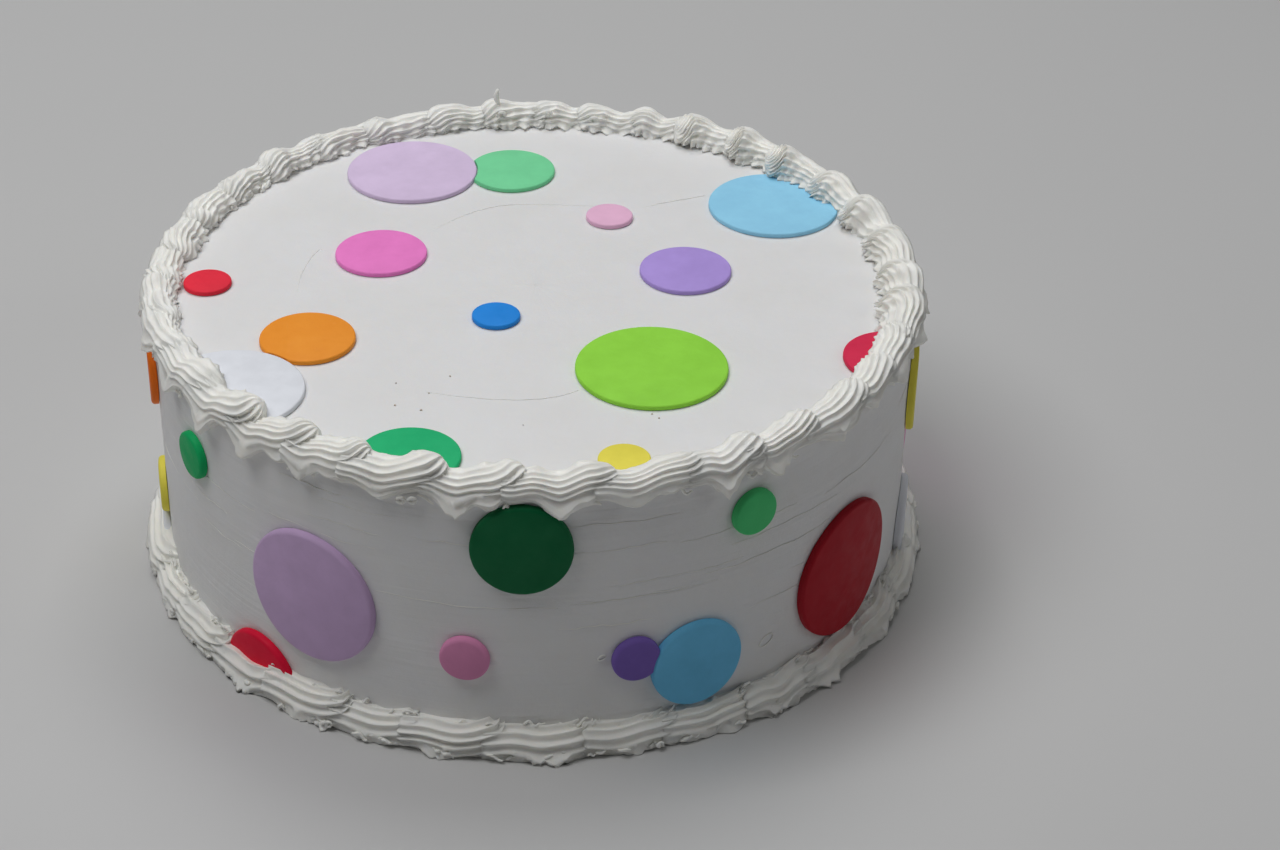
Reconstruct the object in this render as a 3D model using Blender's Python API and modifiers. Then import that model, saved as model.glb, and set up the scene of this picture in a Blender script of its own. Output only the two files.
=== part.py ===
"""A single-tier round cake: white icing, two piped shell borders and flat coloured sugar dots.

Metres, +Z up. The origin is the centre of the cake's flat base, and the front faces -Y.
Angles round the cake run from the front (-Y) towards the right (+X), in degrees.
"""

import math
import random

import bmesh
import bpy

MM = 0.001

# The iced cake.
CAKE_RADIUS = 104.0 * MM
CAKE_HEIGHT = 77.4 * MM
CAKE_EDGE = 1.5 * MM
CAKE_SIDES = 54
GAP = 0.3 * MM

# Rolled sugar dots: thickness of the sheet, softened edge, and sides of an outline by radius.
TOP_DOT_THICKNESS = 1.4 * MM
SIDE_DOT_THICKNESS = 2.0 * MM
DOT_EDGE = 0.6 * MM
DOT_SIDE_LENGTH = 6.0 * MM
DOT_SIDES_LEAST = 12
# Dots that run under a border end here.
TOP_DOT_REACH = 100.0 * MM
SIDE_DOT_FLOOR = 2.5 * MM

LAVENDER = (0.76, 0.61, 0.84)
MINT = (0.22, 0.78, 0.41)
MAGENTA = (0.96, 0.25, 0.67)
PALE_PINK = (0.91, 0.54, 0.75)
LIGHT_BLUE = (0.32, 0.72, 0.96)
VIOLET = (0.46, 0.34, 0.77)
RED = (0.86, 0.04, 0.08)
BLUE = (0.03, 0.28, 0.82)
AMBER = (0.98, 0.36, 0.05)
COOL_WHITE = (0.83, 0.85, 0.92)
LIME = (0.33, 0.76, 0.08)
GREEN = (0.03, 0.50, 0.20)
YELLOW = (0.90, 0.79, 0.10)
CRIMSON = (0.84, 0.03, 0.10)
DARK_GREEN = (0.015, 0.17, 0.065)
PURPLE = (0.22, 0.14, 0.51)
DARK_RED = (0.44, 0.03, 0.04)
ICING = (0.82, 0.81, 0.79)
ICING_ROUGHNESS = 0.5
PASTE_ROUGHNESS = 0.45

# Dots on the top, in mm: name, right, back, radius, colour.
TOP_DOTS = (
    ("dot_top_01", -36.0, 66.1, 19.0, LAVENDER),
    ("dot_top_02", -6.7, 66.6, 12.7, MINT),
    ("dot_top_03", -42.8, 16.8, 12.7, MAGENTA),
    ("dot_top_04", 21.4, 38.2, 6.7, PALE_PINK),
    ("dot_top_05", 69.0, 44.7, 18.7, LIGHT_BLUE),
    ("dot_top_06", 41.6, 6.5, 12.7, VIOLET),
    ("dot_top_07", -89.3, 0.6, 6.5, RED),
    ("dot_top_08", -10.5, -17.9, 6.5, BLUE),
    ("dot_top_09", -60.0, -29.3, 12.7, AMBER),
    ("dot_top_10", -77.8, -54.8, 19.0, COOL_WHITE),
    ("dot_top_11", 30.2, -44.7, 20.0, LIME),
    ("dot_top_12", -31.2, -86.3, 12.9, GREEN),
    ("dot_top_13", 21.7, -88.0, 6.6, YELLOW),
    ("dot_top_14", 93.3, -40.2, 12.7, CRIMSON),
)

# Dots round the side: name, angle in degrees, height of the centre and radius in mm, colour.
SIDE_DOTS = (
    ("dot_side_01", -33.2, 37.0, 19.2, LAVENDER),
    ("dot_side_02", -10.0, 28.7, 6.5, PALE_PINK),
    ("dot_side_03", -2.0, 62.9, 13.0, DARK_GREEN),
    ("dot_side_04", 13.8, 26.9, 6.5, PURPLE),
    ("dot_side_05", 22.9, 21.7, 12.8, LIGHT_BLUE),
    ("dot_side_06", 31.2, 63.4, 6.5, GREEN),
    ("dot_side_07", 51.0, 28.9, 19.5, DARK_RED),
    ("dot_side_08", -44.0, 3.0, 12.7, RED),
    ("dot_side_09", -57.7, 59.1, 6.5, GREEN),
    ("dot_side_10", -83.0, 62.3, 12.7, AMBER),
    ("dot_side_11", -83.5, 20.5, 7.9, YELLOW),
    ("dot_side_12", -85.5, -0.6, 12.7, COOL_WHITE),
    ("dot_side_13", 83.0, 52.8, 12.7, YELLOW),
    ("dot_side_14", 80.5, 10.9, 12.7, COOL_WHITE),
    ("dot_side_15", 101.0, 26.0, 19.0, MAGENTA),
    ("dot_side_16", 113.0, 62.0, 6.5, BLUE),
    ("dot_side_17", 122.5, 38.0, 12.7, LIME),
    ("dot_side_18", 141.0, 56.5, 12.7, VIOLET),
    ("dot_side_19", 146.0, 19.0, 6.5, AMBER),
    ("dot_side_20", 163.0, 34.0, 19.0, LIGHT_BLUE),
    ("dot_side_21", 181.0, 60.0, 6.5, CRIMSON),
    ("dot_side_22", 189.0, 22.5, 12.7, GREEN),
    ("dot_side_23", 207.0, 48.0, 19.0, YELLOW),
    ("dot_side_24", 222.5, 19.0, 6.5, PURPLE),
    ("dot_side_25", 234.0, 44.0, 12.7, RED),
    ("dot_side_26", 252.0, 29.0, 6.5, MINT),
)

# Where two dots meet, the first is cut away round the second.
TOP_BITES = (("dot_top_02", "dot_top_01"), ("dot_top_09", "dot_top_10"))
SIDE_BITES = (("dot_side_04", "dot_side_05"),)

# Angles at which the piped shells end in a rounded head.
TOP_HEADS = (
    -77.5, -66.5, -55.2, -45.1, -34.2, -25.1, -13.8, -2.5, 9.8, 22.8, 31.9, 42.0,
    53.7, 63.2, 72.4, 81.6, 91.0, 102.0, 112.5, 123.0, 133.7, 143.0, 153.3, 162.3,
    171.2, 179.5, 188.0, 197.7, 209.1, 219.8, 231.0, 241.5, 251.6, 261.4, 271.2,
)
BASE_HEADS = (
    -73.0, -62.0, -51.0, -39.5, -28.0, -17.3, -5.7, 8.2, 19.2, 32.0, 42.0, 54.0,
    66.0, 77.5, 90.0, 102.0, 113.5, 126.0, 138.0, 149.5, 162.0, 174.0, 185.5, 198.0,
    210.0, 221.5, 234.0, 246.0, 258.0, 270.0,
)

# One kind of shell for each border. Lengths are metres and angles degrees. A shell's middle line
# runs along the border and hooks inwards (yaw) and upwards (pitch) at its head. Places along it
# run from 0 at the head to 1 at the tail, and angles round it from its outer side over its top.
# Overhang and tuck are how far its head passes its joint, and its tail the joint before.
# Heads at the domed angles stand out in full, and the others only by their calm share.
# The core is a plain ring inside the shells: inner and outer radius, bottom and top.
TOP_BORDER = {
    "heads": TOP_HEADS,
    "seed": 6139,
    "radius": 101.4 * MM,
    "height": CAKE_HEIGHT + 2.0 * MM,
    "half_width": 5.0 * MM,
    "half_height": 4.6 * MM,
    "shown_from": -62.0,
    "shown_to": 222.0,
    "ridges": 6,
    "buried_points": 1,
    "stations": (0.06, 0.22, 0.52, 1.0),
    "ridge_depth": 0.20,
    "tail_high": 0.60,
    "tail_low": 0.92,
    "head_length": 0.24,
    "hook_length": 0.46,
    "yaw": 40.0,
    "pitch": 34.0,
    "bulge": 0.28,
    "domed": (75.0, 203.0),
    "calm": 0.5,
    "dip": 1.2 * MM,
    "lip": 1.6 * MM,
    "lip_angle": -26.0,
    "overhang": 2.2,
    "tuck": 2.6,
    "core": (98.4 * MM, 103.6 * MM, CAKE_HEIGHT - 1.6 * MM, CAKE_HEIGHT + 3.4 * MM),
}
BASE_BORDER = {
    "heads": BASE_HEADS,
    "seed": 23,
    "radius": 104.6 * MM,
    "height": 3.2 * MM,
    "half_width": 5.8 * MM,
    "half_height": 5.8 * MM,
    "shown_from": -40.0,
    "shown_to": 100.0,
    "ridges": 5,
    "buried_points": 1,
    "stations": (0.08, 0.30, 1.0),
    "ridge_depth": 0.17,
    "tail_high": 0.84,
    "tail_low": 0.92,
    "head_length": 0.13,
    "hook_length": 0.25,
    "yaw": 55.0,
    "pitch": 25.0,
    "bulge": 0.06,
    "domed": (-180.0, 360.0),
    "calm": 1.0,
    "dip": 0.6 * MM,
    "lip": 1.2 * MM,
    "lip_angle": -22.0,
    "overhang": 1.6,
    "tuck": 2.4,
    "core": (101.0 * MM, 107.8 * MM, -3.0 * MM, 4.6 * MM),
}
# How unlike each other the shells are.
SIZE_SPREAD = 0.05
PLACE_SPREAD = 0.35 * MM
HOOK_SPREAD = 0.2
DIP_PLACES = (0.5, 0.7)
DIP_SIZES = (0.5, 1.3)
LIP_SIZES = (0.4, 1.4)
RISE_SIZES = (0.75, 1.1)

# Shape of every shell: how blunt its head is, how its tail thins, the direction that thins most,
# the spread along it of its bulge, dip and lip, and the spread of a lip round it, in degrees.
HEAD_BLUNTNESS = 2.3
TAIL_POWER = 1.1
THIN_SIDE = 115.0
BULGE_PLACE = 0.26
BULGE_SPREAD = 0.20
DIP_SPREAD = 0.17
LIP_SPREAD = 20.0
LIP_OUT = 1.1
LIP_DOWN = 0.55
SPINE_STEPS = 24
CORE_BEVEL = 0.3
# Dots closer than this many half sizes to a border's middle line are cut clear of it.
BORDER_REACH = 1.3

# The small spike that the piping tip drew up at the back.
SPIKE_ANGLE = 186.2
SPIKE_RADIUS = 99.5 * MM
SPIKE_BASE = CAKE_HEIGHT + 5.0 * MM
SPIKE_HEIGHT = 6.5 * MM
SPIKE_WIDTH = 2.6 * MM
SPIKE_TIP_WIDTH = 0.4 * MM
SPIKE_SIDES = 8

# Reach of the cutting bodies past what they cut, and the modelling tolerances.
CUT_MARGIN = 20.0 * MM
AXIS_MERGE = 0.1 * MM
WELD = 0.003 * MM
SHARP_ANGLE = 40.0


def clear_scene():
    for old in list(bpy.data.objects):
        bpy.data.objects.remove(old, do_unlink=True)


def collection(name, hidden=False):
    made = bpy.data.collections.new(name)
    bpy.context.scene.collection.children.link(made)
    made.hide_render = hidden
    return made


def material(name, colour, roughness):
    made = bpy.data.materials.new(name)
    made.use_nodes = True
    shader = made.node_tree.nodes["Principled BSDF"]
    shader.inputs["Base Color"].default_value = (*colour, 1.0)
    shader.inputs["Roughness"].default_value = roughness
    shader.inputs["Metallic"].default_value = 0.0
    return made


def place(name, mesh, group, location=(0.0, 0.0, 0.0), turn=0.0):
    made = bpy.data.objects.new(name, mesh)
    made.location = location
    made.rotation_euler = (0.0, 0.0, math.radians(turn))
    group.objects.link(made)
    return made


def as_cutter(obj):
    obj.hide_render = True
    obj.display_type = "WIRE"
    return obj


def boolean(obj, operation, cutter, solver="EXACT"):
    """Adds a Boolean with one object, or with a collection of them."""
    modifier = obj.modifiers.new(operation.lower(), "BOOLEAN")
    modifier.operation = operation
    modifier.solver = solver
    if isinstance(cutter, bpy.types.Collection):
        modifier.operand_type = "COLLECTION"
        modifier.collection = cutter
    else:
        modifier.object = cutter
    return modifier


def apply_modifiers(obj):
    bpy.context.view_layer.update()
    graph = bpy.context.evaluated_depsgraph_get()
    obj.data = bpy.data.meshes.new_from_object(obj.evaluated_get(graph))
    obj.modifiers.clear()


def shade_round(obj):
    obj.data.shade_smooth()
    obj.data.set_sharp_from_angle(angle=math.radians(SHARP_ANGLE))


def turned(name, profile, group):
    """A solid of revolution about Z from a profile at +X that runs from top to bottom."""
    mesh = bpy.data.meshes.new(name)
    edges = [(i, i + 1) for i in range(len(profile) - 1)]
    mesh.from_pydata([(x, 0.0, z) for x, z in profile], edges, [])
    made = place(name, mesh, group)
    screw = made.modifiers.new("turn", "SCREW")
    screw.steps = CAKE_SIDES
    screw.render_steps = CAKE_SIDES
    screw.use_merge_vertices = True
    screw.merge_threshold = AXIS_MERGE
    return made


def cylinder(name, radius, bottom, top, group):
    profile = [(0.0, top), (radius, top), (radius, bottom), (0.0, bottom)]
    return turned(name, profile, group)


def disc_mesh(name, radius, thickness, edge, wrap_radius=None):
    """A disc with a softened upper edge, flat, or wrapped round the cake's side.

    Rungs across a wrapped disc, parallel to the cake's axis, let its faces follow the curve.
    """
    sides = max(DOT_SIDES_LEAST, 2 * round(math.pi * radius / DOT_SIDE_LENGTH))
    shape = bmesh.new()
    rim = bmesh.ops.create_circle(shape, cap_ends=True, radius=radius, segments=sides)["verts"]
    if wrap_radius is not None:
        by_angle = sorted(rim, key=lambda v: math.atan2(v.co.x, v.co.y) % math.tau)
        for i in range(1, sides // 2):
            # The two ends of a rung stand at the same distance from the disc's middle line.
            bmesh.ops.connect_verts(shape, verts=[by_angle[i], by_angle[sides - i]])
    top = bmesh.ops.extrude_face_region(shape, geom=shape.faces[:])["geom"]
    raised = [g for g in top if isinstance(g, bmesh.types.BMVert)]
    bmesh.ops.translate(shape, verts=raised, vec=(0.0, 0.0, thickness - edge))
    faces = [g for g in top if isinstance(g, bmesh.types.BMFace)]
    crown = bmesh.ops.extrude_face_region(shape, geom=faces)["geom"]
    crown = [g for g in crown if isinstance(g, bmesh.types.BMVert)]
    bmesh.ops.delete(shape, geom=faces, context="FACES")
    shrink = (radius - edge) / radius
    bmesh.ops.scale(shape, verts=crown, vec=(shrink, shrink, 1.0))
    bmesh.ops.translate(shape, verts=crown, vec=(0.0, 0.0, edge))
    bmesh.ops.recalc_face_normals(shape, faces=shape.faces[:])
    if wrap_radius is not None:
        for vert in shape.verts:
            angle = vert.co.y / (wrap_radius + thickness)
            reach = wrap_radius + vert.co.z
            height = -vert.co.x
            vert.co = (reach * math.sin(angle), -reach * math.cos(angle), height)
    mesh = bpy.data.meshes.new(name)
    shape.to_mesh(mesh)
    shape.free()
    return mesh


def section_angles(border):
    """Angles round a shell's section: two to a ridge where it shows, and a few where it is buried."""
    first, last = border["shown_from"], border["shown_to"]
    steps = 2 * border["ridges"]
    shown = [first + (last - first) * i / steps for i in range(steps + 1)]
    rest = 360.0 - (last - first)
    parts = border["buried_points"] + 1
    buried = [last + rest * i / parts for i in range(1, parts)]
    return [math.radians(a) for a in shown + buried]


def shell_traits(border, index):
    """One shell's joints, and what sets it apart from its neighbours."""
    heads = border["heads"]
    rand = random.Random(border["seed"] + index)
    domed_from, domed_to = border["domed"]
    rise = 1.0 if domed_from < heads[index] < domed_to else border["calm"]
    return {
        "head": heads[index],
        "tail": heads[index - 1] - (360.0 if index == 0 else 0.0),
        "size": 1.0 + rand.uniform(-SIZE_SPREAD, SIZE_SPREAD),
        "radius": border["radius"] + rand.uniform(-PLACE_SPREAD, PLACE_SPREAD),
        "height": border["height"] + rand.uniform(-PLACE_SPREAD, PLACE_SPREAD),
        "hook": 1.0 + rand.uniform(-HOOK_SPREAD, HOOK_SPREAD),
        "dip_at": rand.uniform(*DIP_PLACES),
        "dip": border["dip"] * rand.uniform(*DIP_SIZES),
        "lip": border["lip"] * rand.uniform(*LIP_SIZES),
        "rise": rise * rand.uniform(*RISE_SIZES),
    }


def ease(x):
    """0 up to 0, 1 from 1, and an even curve between."""
    x = min(max(x, 0.0), 1.0)
    return x * x * (3.0 - 2.0 * x)


def hump(x, centre, spread):
    return math.exp(-(((x - centre) / spread) ** 2))


def heading(border, shell, t):
    """Yaw inwards and pitch upwards of a shell's middle line at t, in radians."""
    hook = shell["rise"] * shell["hook"] * (1.0 - ease(t / border["hook_length"]))
    return math.radians(border["yaw"]) * hook, math.radians(border["pitch"]) * hook


def spine(border, shell, t):
    """Turn round the cake, radius and height of a shell's middle line at t."""
    start = math.radians(shell["tail"] - border["tuck"])
    end = math.radians(shell["head"] + border["overhang"])
    along, radius, height = 0.0, shell["radius"], shell["height"]
    step = (1.0 - t) / SPINE_STEPS
    length = (end - start) * shell["radius"] * step
    for i in range(SPINE_STEPS):
        yaw, pitch = heading(border, shell, 1.0 - (i + 0.5) * step)
        along += length * math.cos(yaw) * math.cos(pitch)
        radius -= length * math.sin(yaw) * math.cos(pitch)
        height += length * math.sin(pitch)
    return start + along / shell["radius"], radius, height


def shell_point(border, shell, t, angle, valley):
    """A point on a shell's skin, or on its middle line where t is at either end."""
    turn, radius, height = spine(border, shell, t)
    yaw, pitch = heading(border, shell, t)
    head_length = border["head_length"]
    near = 1.0 - min(t / head_length, 1.0)
    run = max(0.0, (t - head_length) / (1.0 - head_length))
    outward, upward = math.cos(angle), math.sin(angle)

    thin = 0.5 + 0.5 * math.cos(angle - math.radians(THIN_SIDE))
    tail = border["tail_low"] + (border["tail_high"] - border["tail_low"]) * thin
    size = shell["size"] * (1.0 - near**HEAD_BLUNTNESS) ** (1.0 / HEAD_BLUNTNESS)
    size *= 1.0 - shell["rise"] * (1.0 - tail) * run**TAIL_POWER
    bulge = shell["rise"] * border["bulge"] * hump(t, BULGE_PLACE, BULGE_SPREAD)
    size *= 1.0 + bulge * (0.5 + 0.5 * upward)
    if valley:
        size *= 1.0 - border["ridge_depth"]

    wide = border["half_width"] * size * outward
    high = border["half_height"] * size * upward
    lip = shell["lip"] * hump(t, shell["dip_at"], DIP_SPREAD)
    lip *= hump(math.degrees(angle), border["lip_angle"], LIP_SPREAD)
    z = height + high * math.cos(pitch) - shell["dip"] * hump(t, shell["dip_at"], DIP_SPREAD)
    ahead = wide * math.sin(yaw) - high * math.sin(pitch) * math.cos(yaw)
    reach = radius + wide * math.cos(yaw) + high * math.sin(pitch) * math.sin(yaw)
    reach += LIP_OUT * lip
    z -= LIP_DOWN * lip
    turn += ahead / shell["radius"]
    return reach * math.sin(turn), -reach * math.cos(turn), z


def shell_mesh(name, border, shell):
    """One piped shell: a ridged, hooked head that runs out into a tail, lofted along its spine."""
    angles = section_angles(border)
    ridged = 2 * border["ridges"]
    shape = bmesh.new()

    def ring(t):
        verts = []
        for i, angle in enumerate(angles):
            valley = i <= ridged and i % 2 == 0
            verts.append(shape.verts.new(shell_point(border, shell, t, angle, valley)))
        return verts

    def pole(t):
        turn, radius, height = spine(border, shell, t)
        height -= shell["dip"] * hump(t, shell["dip_at"], DIP_SPREAD)
        return shape.verts.new((radius * math.sin(turn), -radius * math.cos(turn), height))

    rings = [ring(t) for t in border["stations"]]
    tip = pole(0.0)
    end = pole(1.0)
    count = len(angles)
    for i in range(count):
        j = (i + 1) % count
        shape.faces.new((tip, rings[0][j], rings[0][i]))
        shape.faces.new((end, rings[-1][i], rings[-1][j]))
        for near, far in zip(rings, rings[1:]):
            shape.faces.new((near[i], near[j], far[j], far[i]))
    bmesh.ops.recalc_face_normals(shape, faces=shape.faces[:])
    mesh = bpy.data.meshes.new(name)
    shape.to_mesh(mesh)
    shape.free()
    return mesh


def border_core(name, core, group):
    inner, outer, bottom, top = core
    bevel = (outer - inner) * CORE_BEVEL
    profile = [
        (inner, bottom),
        (inner, top - bevel),
        (inner + bevel, top),
        (outer - bevel, top),
        (outer, top - bevel),
        (outer, bottom),
        (inner, bottom),
    ]
    ring = turned(name, profile, group)
    apply_modifiers(ring)
    shape = bmesh.new()
    shape.from_mesh(ring.data)
    bmesh.ops.remove_doubles(shape, verts=shape.verts[:], dist=WELD)
    bmesh.ops.recalc_face_normals(shape, faces=shape.faces[:])
    shape.to_mesh(ring.data)
    shape.free()


def drop_slivers(obj):
    """Keeps the largest body, without the slivers that Booleans can leave beside it."""
    shape = bmesh.new()
    shape.from_mesh(obj.data)
    left = set(shape.verts)
    bodies = []
    while left:
        body = set()
        reached = {left.pop()}
        while reached:
            vert = reached.pop()
            body.add(vert)
            reached |= {edge.other_vert(vert) for edge in vert.link_edges} - body
        left -= body
        bodies.append(body)
    bodies.sort(key=len)
    for body in bodies[:-1]:
        bmesh.ops.delete(shape, geom=list(body), context="VERTS")
    shape.to_mesh(obj.data)
    shape.free()


def piped_border(name, border, group, extras=()):
    """A closed ring of overlapping shells, joined into one solid."""
    shells = collection(name + "_shells")
    for index in range(len(border["heads"])):
        shell = shell_traits(border, index)
        place(f"{name}_shell_{index:02d}", shell_mesh(name, border, shell), shells)
    border_core(name + "_core", border["core"], shells)
    for extra in extras:
        extra(shells)
    first = shells.objects[0]
    ring = place(name, first.data.copy(), group)
    bpy.data.objects.remove(first)
    boolean(ring, "UNION", shells, solver="MANIFOLD")
    apply_modifiers(ring)
    for shell in list(shells.objects):
        bpy.data.objects.remove(shell)
    bpy.data.collections.remove(shells)
    return ring


def spike(group):
    """The pointed wisp at the back of the upper border."""
    turn = math.radians(SPIKE_ANGLE)
    shape = bmesh.new()
    bmesh.ops.create_cone(
        shape,
        cap_ends=True,
        segments=SPIKE_SIDES,
        radius1=SPIKE_WIDTH / 2,
        radius2=SPIKE_TIP_WIDTH / 2,
        depth=SPIKE_HEIGHT,
    )
    mesh = bpy.data.meshes.new("spike")
    shape.to_mesh(mesh)
    shape.free()
    x = SPIKE_RADIUS * math.sin(turn)
    y = -SPIKE_RADIUS * math.cos(turn)
    place("spike", mesh, group, location=(x, y, SPIKE_BASE + SPIKE_HEIGHT / 2))


def cake_profile(grow, bottom):
    """Outline of the iced cake, or of the room it needs, from top to bottom."""
    radius = CAKE_RADIUS + grow
    height = CAKE_HEIGHT + grow
    return [
        (0.0, height),
        (radius - CAKE_EDGE, height),
        (radius, height - CAKE_EDGE),
        (radius, bottom),
        (0.0, bottom),
    ]


def top_disc(name, dot, grow, group):
    """A dot on the top, or the room it needs when grow is its clearance."""
    _, x, y, radius, _ = dot
    mesh = disc_mesh(name, radius * MM + grow, TOP_DOT_THICKNESS + 2 * grow, DOT_EDGE)
    return place(name, mesh, group, location=(x * MM, y * MM, CAKE_HEIGHT + GAP - grow))


def side_disc(name, dot, grow, group):
    """A dot on the side, or the room it needs when grow is its clearance."""
    _, angle, height, radius, _ = dot
    thickness = SIDE_DOT_THICKNESS + 2 * grow
    wrap = CAKE_RADIUS + GAP - grow
    mesh = disc_mesh(name, radius * MM + grow, thickness, DOT_EDGE, wrap_radius=wrap)
    return place(name, mesh, group, location=(0.0, 0.0, height * MM), turn=angle)


def cake_body(group):
    body = turned("cake_body", cake_profile(0.0, 0.0), group)
    apply_modifiers(body)
    body.data.materials.append(material("white_icing", ICING, ICING_ROUGHNESS))
    shade_round(body)


def top_dots(group, cutters, clearance):
    """The dots on the top, ending under the border, and the room that they need in it."""
    low = CAKE_HEIGHT - CUT_MARGIN
    high = CAKE_HEIGHT + CUT_MARGIN
    trim = as_cutter(cylinder("top_trim", TOP_DOT_REACH, low, high, cutters))
    wide_trim = as_cutter(cylinder("top_wide_trim", TOP_DOT_REACH + GAP, low, high, cutters))
    border_edge = (TOP_BORDER["radius"] - BORDER_REACH * TOP_BORDER["half_width"]) / MM
    dots = {}
    for row in TOP_DOTS:
        name, x, y, radius, _ = row
        reach = math.hypot(x, y) + radius
        dots[name] = top_disc(name, row, 0.0, group)
        if reach > TOP_DOT_REACH / MM:
            boolean(dots[name], "INTERSECT", trim)
        if reach > border_edge:
            room = as_cutter(top_disc(name + "_room", row, GAP, clearance))
            boolean(room, "INTERSECT", wide_trim)
    return dots


def side_dots(group, cutters, top_clearance, base_clearance):
    """The dots round the side, cut off above the table, and the room they need in the borders."""
    wide = CAKE_RADIUS + CUT_MARGIN
    floor = as_cutter(cylinder("floor_trim", wide, -CUT_MARGIN, SIDE_DOT_FLOOR, cutters))
    low_floor = cylinder("low_floor_trim", wide, -CUT_MARGIN, SIDE_DOT_FLOOR - GAP, cutters)
    as_cutter(low_floor)
    top_edge = (TOP_BORDER["height"] - BORDER_REACH * TOP_BORDER["half_height"]) / MM
    base_edge = (BASE_BORDER["height"] + BORDER_REACH * BASE_BORDER["half_height"]) / MM
    dots = {}
    for row in SIDE_DOTS:
        name, _, height, radius, _ = row
        dots[name] = side_disc(name, row, 0.0, group)
        if height - radius < SIDE_DOT_FLOOR / MM:
            boolean(dots[name], "DIFFERENCE", floor)
        if height + radius > top_edge:
            as_cutter(side_disc(name + "_room", row, GAP, top_clearance))
        if height - radius < base_edge:
            room = as_cutter(side_disc(name + "_room", row, GAP, base_clearance))
            boolean(room, "DIFFERENCE", low_floor)
    return dots


def cut_bites(dots, cutters):
    rows = {row[0]: row for row in TOP_DOTS + SIDE_DOTS}
    for bites, disc in ((TOP_BITES, top_disc), (SIDE_BITES, side_disc)):
        for bitten, whole in bites:
            cutter = as_cutter(disc(bitten + "_bite", rows[whole], GAP, cutters))
            boolean(dots[bitten], "DIFFERENCE", cutter)


def finish_dots(dots):
    for name, _, _, _, colour in TOP_DOTS + SIDE_DOTS:
        apply_modifiers(dots[name])
        dots[name].data.materials.append(material(name + "_paste", colour, PASTE_ROUGHNESS))
        shade_round(dots[name])


def borders(group, top_clearance, base_clearance):
    """Both piped borders, cut clear of the cake, the dots and the table."""
    for clearance in (top_clearance, base_clearance):
        as_cutter(turned("cake_room", cake_profile(GAP, -CUT_MARGIN), clearance))
    wide = CAKE_RADIUS + CUT_MARGIN
    as_cutter(cylinder("table_room", wide, -CUT_MARGIN, 0.0, base_clearance))
    top_border = piped_border("top_border", TOP_BORDER, group, extras=(spike,))
    boolean(top_border, "DIFFERENCE", top_clearance, solver="MANIFOLD")
    base_border = piped_border("base_border", BASE_BORDER, group)
    boolean(base_border, "DIFFERENCE", base_clearance, solver="MANIFOLD")
    for border in (top_border, base_border):
        apply_modifiers(border)
        drop_slivers(border)
        border.data.materials.clear()
        border.data.materials.append(material(border.name + "_icing", ICING, ICING_ROUGHNESS))
        shade_round(border)


def build():
    clear_scene()
    cake = collection("polka_dot_cake")
    cutters = collection("cutters", hidden=True)
    top_clearance = collection("top_clearance", hidden=True)
    base_clearance = collection("base_clearance", hidden=True)
    cake_body(cake)
    dots = top_dots(cake, cutters, top_clearance)
    dots.update(side_dots(cake, cutters, top_clearance, base_clearance))
    cut_bites(dots, cutters)
    finish_dots(dots)
    borders(cake, top_clearance, base_clearance)


build()
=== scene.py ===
"""Looks of the polka dot cake: white icing, piped shell borders and rolled sugar dots."""

import math
import random

import bmesh
import bpy
import numpy as np
from mathutils import Matrix, Vector


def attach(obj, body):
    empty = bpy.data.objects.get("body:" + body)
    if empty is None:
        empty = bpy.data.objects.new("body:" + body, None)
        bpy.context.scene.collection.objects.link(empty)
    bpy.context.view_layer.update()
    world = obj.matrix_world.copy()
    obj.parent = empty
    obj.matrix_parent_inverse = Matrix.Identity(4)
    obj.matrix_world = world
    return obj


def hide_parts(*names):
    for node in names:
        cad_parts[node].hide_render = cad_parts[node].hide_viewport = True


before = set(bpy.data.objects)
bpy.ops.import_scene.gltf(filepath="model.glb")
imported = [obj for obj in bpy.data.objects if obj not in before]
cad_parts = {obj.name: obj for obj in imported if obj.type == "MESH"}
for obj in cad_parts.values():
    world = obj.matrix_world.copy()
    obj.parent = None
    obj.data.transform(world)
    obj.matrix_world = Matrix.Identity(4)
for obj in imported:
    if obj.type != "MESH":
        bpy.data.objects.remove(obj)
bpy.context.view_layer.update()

MM = 0.001
CAKE_RADIUS = 104.0 * MM
CAKE_HEIGHT = 77.4 * MM
GAP = 0.3 * MM
TOP_DOT_THICKNESS = 1.2 * MM
SIDE_DOT_THICKNESS = 2.0 * MM
TOP_DOT_REACH = 100.0 * MM
SIDE_DOT_FLOOR = 2.5 * MM
UPPER_EDGE = 1.5 * MM
TOP_DOT_EDGE = 0.5 * MM
SIDE_DOT_EDGE = 1.0 * MM
BITE_EDGE = 0.1 * MM
DOT_LIFT = GAP * 0.2
DOT_SIDES = 96
THREAD_SIDES = 6
SHARP_ANGLE = math.radians(50)
# Sizes of the unevenness in piped icing.
BULGE_SIZE = 4.4 * MM
TEAR_SIZE = 1.8 * MM
PORE_SIZE = 0.7 * MM

# Colours as seen in daylight, sRGB 0 to 255.
LAVENDER = (226, 205, 237)
MINT = (128, 227, 168)
MAGENTA = (250, 136, 213)
PALE_PINK = (244, 193, 224)
LIGHT_BLUE = (155, 219, 252)
VIOLET = (184, 158, 233)
RED = (240, 48, 70)
BLUE = (40, 144, 236)
AMBER = (255, 159, 54)
COOL_WHITE = (236, 239, 246)
LIME = (156, 229, 75)
GREEN = (40, 188, 122)
YELLOW = (243, 230, 90)
CRIMSON = (223, 46, 84)
SIDE_LAVENDER = (208, 178, 219)
SIDE_PINK = (225, 145, 188)
SIDE_BLUE = (112, 196, 239)
DARK_GREEN = (8, 104, 60)
PURPLE = (125, 99, 184)
SIDE_GREEN = (78, 205, 124)
DARK_RED = (176, 24, 40)
SIDE_RED = (230, 16, 58)
DEEP_GREEN = (18, 180, 104)
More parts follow.
